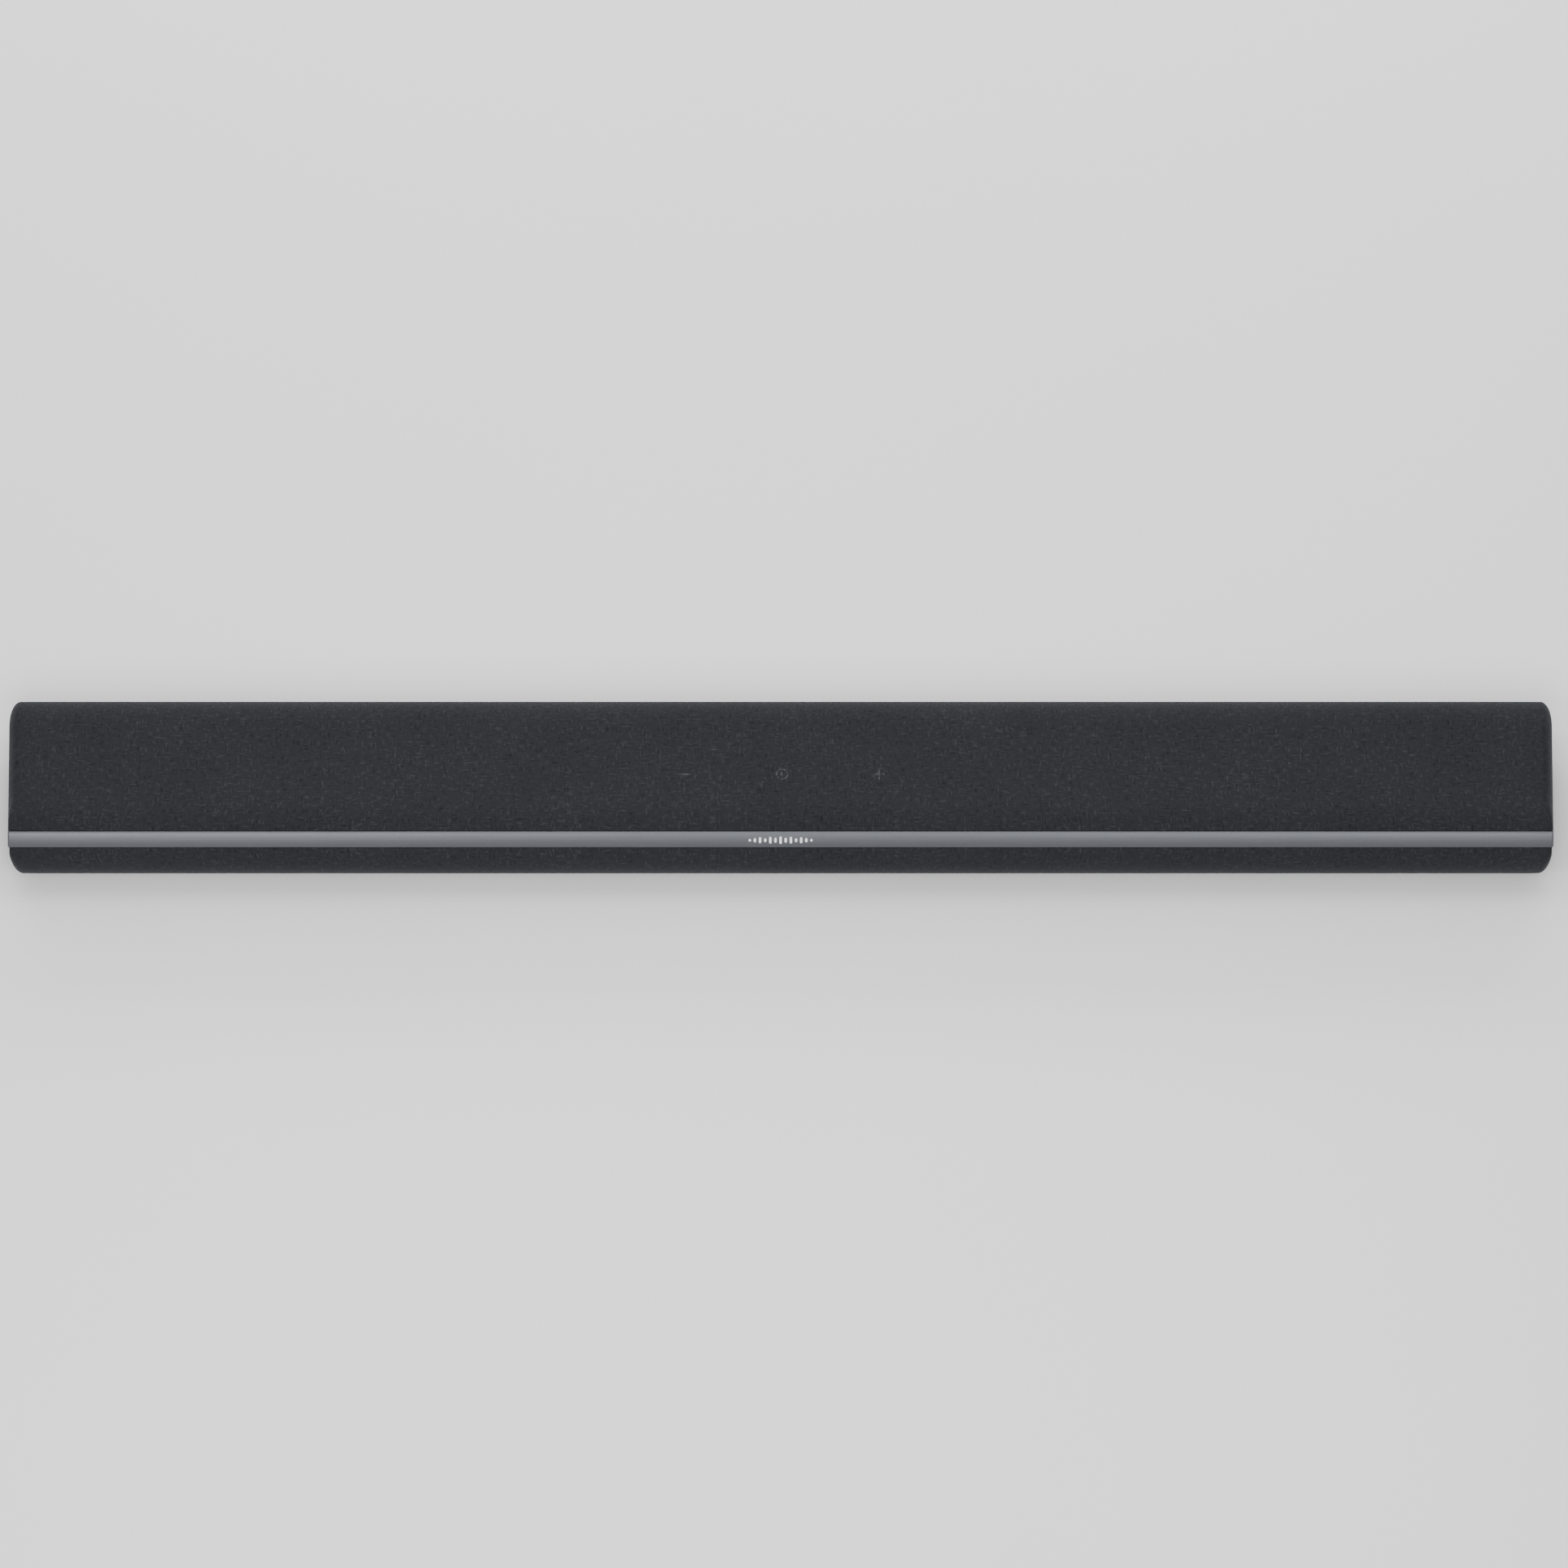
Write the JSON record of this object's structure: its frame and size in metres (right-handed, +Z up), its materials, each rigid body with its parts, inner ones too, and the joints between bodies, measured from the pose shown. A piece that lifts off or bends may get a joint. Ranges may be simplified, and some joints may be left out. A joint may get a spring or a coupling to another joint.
{
  "type": "soundbar",
  "caption": "Long cloth-wrapped soundbar with a rounded section, a satin metal trim strip across its front and hidden top keys, standing on rubber feet.",
  "frame": {"origin": "middle of the footprint, on the surface that the feet stand on", "axes": "+X along the bar to the right seen from the front, -Y towards the listener, +Z up"},
  "size_m": [1.05, 0.125, 0.065],
  "materials": {
    "cloth": "heather knit, charcoal",
    "trim_aluminium": "satin anodised grey",
    "housing_plastic": "moulded black",
    "foot_rubber": "matt black",
    "brass": "machined",
    "screw_steel": "zinc plated",
    "panel_metal": "black powder coat",
    "socket_plastic": "moulded black",
    "socket_shell": "nickel plated",
    "board_laminate": "green solder mask",
    "chip_black": "moulded epoxy",
    "capacitor_sleeve": "shrink sleeve",
    "heatsink_aluminium": "extruded",
    "can_steel": "tin plated can",
    "transformer_core": "varnished laminations and tape",
    "key_plastic": "moulded",
    "baffle_board": "moulded, glass filled",
    "spacer_nylon": "nylon",
    "lead_plastic": "insulated wire",
    "damping_felt": "felted polyester",
    "basket_steel": "black coated pressed steel",
    "ferrite": "sintered ferrite and steel",
    "cone_pulp": "coated paper pulp",
    "surround_rubber": "moulded roll",
    "faceplate_plastic": "moulded",
    "dome_silk": "doped silk"
  },
  "bodies": {
    "enclosure": {"amp_heatsink": "heatsink_aluminium", "aux_jack": "socket_plastic", "baffle_screws": "screw_steel", "bay_cheeks": "housing_plastic", "bay_roof": "housing_plastic", "bay_sill": "housing_plastic", "board_chips": "chip_black", "board_screws": "screw_steel", "board_spacers": "spacer_nylon", "capacitors": "capacitor_sleeve", "damping_pads": "damping_felt", "front_baffle": "baffle_board", "hdmi_in_socket": "socket_shell", "hdmi_out_socket": "socket_shell", "housing_screws": "screw_steel", "inlet_pins": "brass", "io_panel": "panel_metal", "io_panel_screws": "screw_steel", "key_board": "board_laminate", "key_switches": "socket_plastic", "lower_cloth": "cloth", "lower_housing": "housing_plastic", "main_board": "board_laminate", "optical_socket": "socket_plastic", "power_inlet": "socket_plastic", "power_supply_board": "board_laminate", "rubber_feet": "foot_rubber", "speaker_leads": "lead_plastic", "transformer": "transformer_core", "trim_band": "trim_aluminium", "tweeter_left_faceplate": "faceplate_plastic", "tweeter_left_magnet": "ferrite", "tweeter_right_faceplate": "faceplate_plastic", "tweeter_right_magnet": "ferrite", "upper_cloth": "cloth", "upper_housing": "housing_plastic", "usb_socket": "socket_shell", "wall_inserts": "brass", "wifi_module": "can_steel", "woofer_1_basket": "basket_steel", "woofer_1_magnet": "ferrite", "woofer_1_surround": "surround_rubber", "woofer_2_basket": "basket_steel", "woofer_2_magnet": "ferrite", "woofer_2_surround": "surround_rubber", "woofer_3_basket": "basket_steel", "woofer_3_magnet": "ferrite", "woofer_3_surround": "surround_rubber", "woofer_4_basket": "basket_steel", "woofer_4_magnet": "ferrite", "woofer_4_surround": "surround_rubber"},
    "minus_key": {"key_minus": "key_plastic"},
    "source_key": {"key_source": "key_plastic"},
    "plus_key": {"key_plus": "key_plastic"},
    "woofer_cone_1": {"woofer_1_cone": "cone_pulp"},
    "woofer_cone_2": {"woofer_2_cone": "cone_pulp"},
    "woofer_cone_3": {"woofer_3_cone": "cone_pulp"},
    "woofer_cone_4": {"woofer_4_cone": "cone_pulp"},
    "tweeter_dome_left": {"tweeter_left_dome": "dome_silk"},
    "tweeter_dome_right": {"tweeter_right_dome": "dome_silk"}
  },
  "joints": [
    {"name": "minus_key_press", "type": "slide", "parent": "enclosure", "child": "minus_key", "axis": [0, 0, -1], "range_m": [0, 0.0005], "stiffness_N_per_m": 2600, "springref_m": -0.0001},
    {"name": "source_key_press", "type": "slide", "parent": "enclosure", "child": "source_key", "axis": [0, 0, -1], "range_m": [0, 0.0005], "stiffness_N_per_m": 2600, "springref_m": -0.0001},
    {"name": "plus_key_press", "type": "slide", "parent": "enclosure", "child": "plus_key", "axis": [0, 0, -1], "range_m": [0, 0.0005], "stiffness_N_per_m": 2600, "springref_m": -0.0001},
    {"name": "woofer_excursion_1", "type": "slide", "parent": "enclosure", "child": "woofer_cone_1", "axis": [0, -1, 0], "range_m": [-0.0025, 0.0025], "stiffness_N_per_m": 900},
    {"name": "woofer_excursion_2", "type": "slide", "parent": "enclosure", "child": "woofer_cone_2", "axis": [0, -1, 0], "range_m": [-0.0025, 0.0025], "stiffness_N_per_m": 900},
    {"name": "woofer_excursion_3", "type": "slide", "parent": "enclosure", "child": "woofer_cone_3", "axis": [0, -1, 0], "range_m": [-0.0025, 0.0025], "stiffness_N_per_m": 900},
    {"name": "woofer_excursion_4", "type": "slide", "parent": "enclosure", "child": "woofer_cone_4", "axis": [0, -1, 0], "range_m": [-0.0025, 0.0025], "stiffness_N_per_m": 900},
    {"name": "tweeter_excursion_left", "type": "slide", "parent": "enclosure", "child": "tweeter_dome_left", "axis": [0, -1, 0], "range_m": [-0.0003, 0.0003], "stiffness_N_per_m": 2500},
    {"name": "tweeter_excursion_right", "type": "slide", "parent": "enclosure", "child": "tweeter_dome_right", "axis": [0, -1, 0], "range_m": [-0.0003, 0.0003], "stiffness_N_per_m": 2500}
  ]
}
